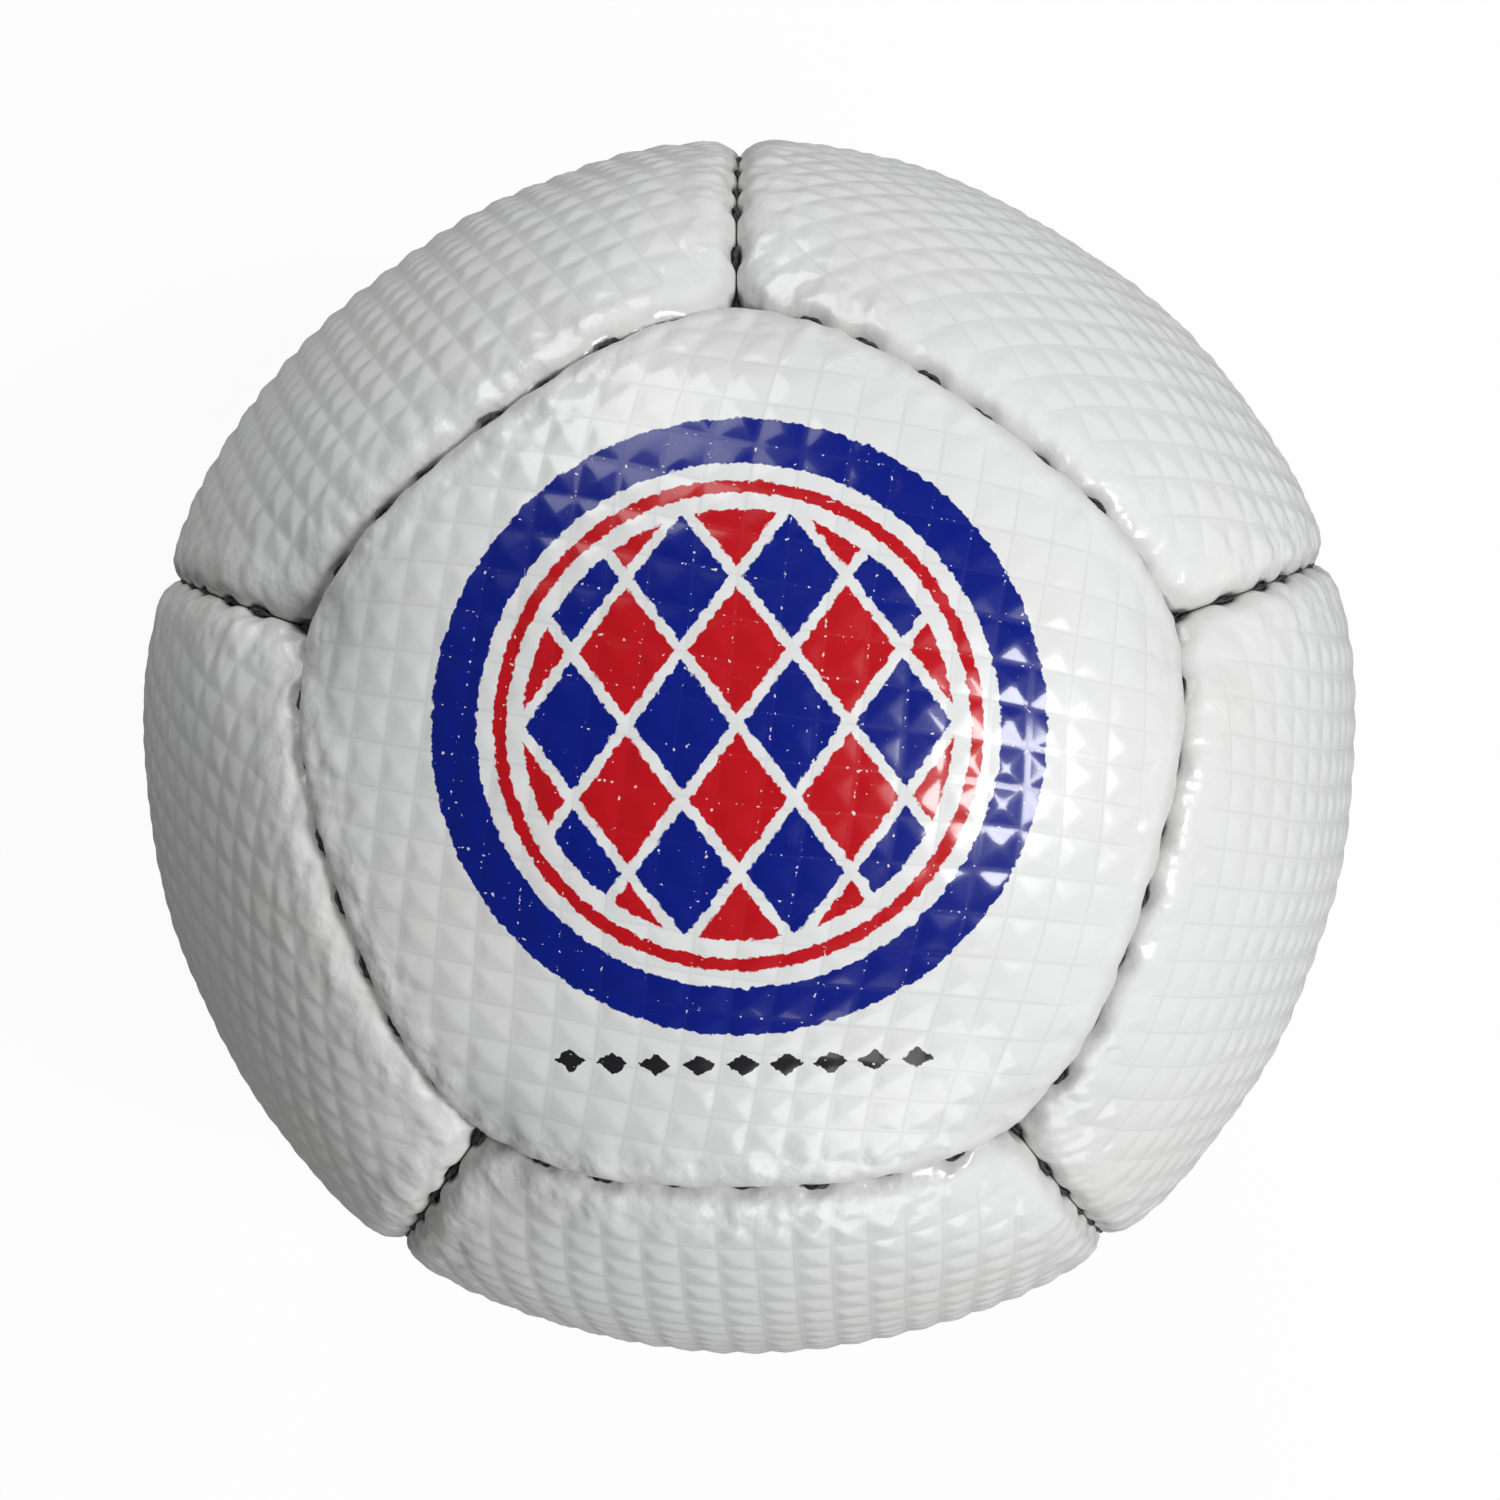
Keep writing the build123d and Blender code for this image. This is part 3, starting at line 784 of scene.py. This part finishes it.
def clothMaterial(name):
    # woven cloth: the higher of two products of sine yarns that cross
    material, tree, shader = newMaterial(name)
    place = addNode(tree, "ShaderNodeTexCoord").outputs["Object"]
    parts = addNode(tree, "ShaderNodeSeparateXYZ", None, Vector=place)
    waves = []
    for axis in ("X", "Y", "Z"):
        phase = math2(tree, "MULTIPLY", parts.outputs[axis], 2 * math.pi / cloth["pitch"])
        waves.append(math2(tree, "SINE", phase))
    firstCross = math2(tree, "MULTIPLY", waves[0], waves[1])
    secondCross = math2(tree, "MULTIPLY", waves[1], waves[2])
    level = ramp(tree, math2(tree, "MAXIMUM", firstCross, secondCross), *cloth["levels"])
    tree.links.new(mixColour(tree, level, cloth["dark"], cloth["light"]), shader.inputs["Base Color"])
    addBump(tree, shader, level, cloth["bump"], cloth["bumpDistance"])
    shader.inputs["Roughness"].default_value = cloth["roughness"]
    return material


printedSkin = skinMaterial("printedSkin", True)
finishes = {slotName: grainedMaterial(finish) for slotName, finish in grainedFinishes.items()}
finishes["lining"] = clothMaterial("liningCloth")
finishes["skin"] = skinMaterial("plainSkin", False)

for threadNode, threadTurn in thread["turns"].items():
    strandName = threadNode + "_strand"
    strand = addPiece(strandName, threadMesh(strandName, threadTurn), finishes["thread"])
    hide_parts(threadNode)
    print(threadNode, "in", len(seams), "seams with", len(strand.data.polygons), "triangles")

triangleTotal = 0
for number, place in enumerate(panelNames):
    for plyName in ("skin", "foam", "lining"):
        printed = place == "top" and plyName == "skin"
        ply = plies["tightSkin" if printed else plyName]
        sheet = panelSheet(place, number, ply)
        triangles = panelFaces(sheet, ply["steps"])
        used, packed = np.unique(triangles, return_inverse=True)
        name = place + "_" + plyName + "_sheet"
        layers = {"cells": sheet["cells"][used], "local": sheet["local"][used]}
        mesh = meshFromArrays(name, sheet["points"][used], packed.reshape(-1, 3), layers, sheet["seam"][used])
        piece = addPiece(name, mesh, printedSkin if printed else finishes[plyName])
        body = piece.modifiers.new("ply", "SOLIDIFY")
        body.thickness = ply["thickness"]
        body.offset = -1.0
        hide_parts(place + "_" + plyName)
        triangleTotal += 2 * len(triangles)
print("panels:", len(panelNames), "of three plies with about", triangleTotal, "triangles")

for subpart in frame["record"]["subparts"]:
    node = frame["nodes"][subpart["node"]]
    node.data.materials.clear()
    node.data.materials.append(finishes[subpart["material_slot"]])
print("finishes set on", len(frame["nodes"]), "pieces")

# Stage: pale floor and world, three soft lamps
stage = {
    "floorSize": 6.0,
    "floorBounce": (0.10, 0.095, 0.09, 1),  # floor colour that lights the ball
    "floorSeen": (0.9, 0.9, 0.9, 1),        # and that the camera sees
    "floorRoughness": 0.9,
    "glow": 0.94,           # brightness of the backdrop where it is seen
    "glossShare": 0.12,     # share of that in mirrored rays
    "worldStrength": 0.055,  # light from the world on the ball
    "lampDistance": 0.92,
}
# each lamp's bearing and height in degrees, its size in metres and its power in watts
lamps = {
    "keyLight": {"bearing": 356, "height": 50, "size": 0.22, "power": 5.8},
    "backLight": {"bearing": 106, "height": 32, "size": 0.5, "power": 4.0},
    "frontLight": {"bearing": 290, "height": 24, "size": 0.5, "power": 3.0},
}


def backdropSeen(tree):
    # 1 for rays from the camera or through glass, the gloss share for mirrored rays and 0 for the rest
    path = addNode(tree, "ShaderNodeLightPath")
    gloss = math2(tree, "MULTIPLY", path.outputs["Is Glossy Ray"], stage["glossShare"])
    seen = math2(tree, "MAXIMUM", path.outputs["Is Camera Ray"], gloss)
    return math2(tree, "MAXIMUM", seen, path.outputs["Is Transmission Ray"])


def floorPlane():
    material, tree, shader = newMaterial("paleFloor")
    seen = backdropSeen(tree)
    colour = mixColour(tree, seen, stage["floorBounce"], stage["floorSeen"])
    tree.links.new(colour, shader.inputs["Base Color"])
    shader.inputs["Roughness"].default_value = stage["floorRoughness"]
    glow = addNode(tree, "ShaderNodeEmission").outputs["Emission"]
    share = math2(tree, "MULTIPLY", seen, stage["glow"])
    mix = addNode(tree, "ShaderNodeMixShader", None, i0=share, i1=shader.outputs["BSDF"], i2=glow)
    output = next(node for node in tree.nodes if node.type == "OUTPUT_MATERIAL")
    tree.links.new(mix.outputs["Shader"], output.inputs["Surface"])
    size = stage["floorSize"] / 2
    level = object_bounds()[0].z
    outline = [(-size, -size, level), (size, -size, level), (size, size, level), (-size, size, level)]
    mesh = bpy.data.meshes.new("floor")
    mesh.from_pydata(outline, [], [(0, 1, 2, 3)])
    floor = bpy.data.objects.new("floor", mesh)
    bpy.context.scene.collection.objects.link(floor)
    mesh.materials.append(material)


def areaLight(name, settings):
    # square lamp on a sphere about the ball, turned to its centre
    lamp = bpy.data.lights.new(name, "AREA")
    lamp.size = settings["size"]
    lamp.energy = settings["power"]
    holder = bpy.data.objects.new(name, lamp)
    bpy.context.scene.collection.objects.link(holder)
    place = Vector(stage["lampDistance"] * polar(math.radians(90 - settings["height"]), settings["bearing"]))
    holder.location = place
    holder.rotation_euler = (-place).to_track_quat("-Z", "Y").to_euler()


def paleWorld():
    # the backdrop's glow where it is seen, and the weak light of the world elsewhere
    world = bpy.data.worlds.new("studio")
    world.use_nodes = True
    tree = world.node_tree
    background = tree.nodes["Background"]
    background.inputs["Color"].default_value = (1, 1, 1, 1)
    more = stage["glow"] - stage["worldStrength"]
    level = math2(tree, "MULTIPLY_ADD", backdropSeen(tree), more, stage["worldStrength"])
    tree.links.new(level, background.inputs["Strength"])
    bpy.context.scene.world = world


floorPlane()
for lampName, lampSettings in lamps.items():
    areaLight(lampName, lampSettings)
paleWorld()

# Camera: close above the printed panel, a little to the right of and beyond its middle
photo = {
    "size": 1500,
    "focalPixels": 1542.0,
    "sensor": 36.0,
    "distance": 0.155,
    "nearest": 0.005,  # nothing closer is drawn
    "leanRight": 0.8,  # degrees, as the next two
    "leanBack": 1.3,
    "roll": 0.7,
}


def photoCamera():
    lens = bpy.data.cameras.new("camera")
    lens.sensor_width = photo["sensor"]
    lens.lens = photo["focalPixels"] / photo["size"] * photo["sensor"]
    lens.clip_start = photo["nearest"]
    holder = bpy.data.objects.new("camera", lens)
    bpy.context.scene.collection.objects.link(holder)
    leanX, leanY = (math.sin(math.radians(photo[lean])) for lean in ("leanRight", "leanBack"))
    holder.location = Vector((leanX, leanY, 1.0)).normalized() * photo["distance"]
    look = -holder.location.normalized()
    roll = math.radians(photo["roll"])
    right = look.cross(Vector((math.sin(roll), math.cos(roll), 0))).normalized()
    up = right.cross(look)
    turned = Matrix((right, up, -look)).transposed().to_4x4()
    holder.matrix_world = Matrix.Translation(holder.location) @ turned
    bpy.context.scene.camera = holder


photoCamera()
bpy.context.scene.view_settings.view_transform = "Standard"
print("stage and camera set")
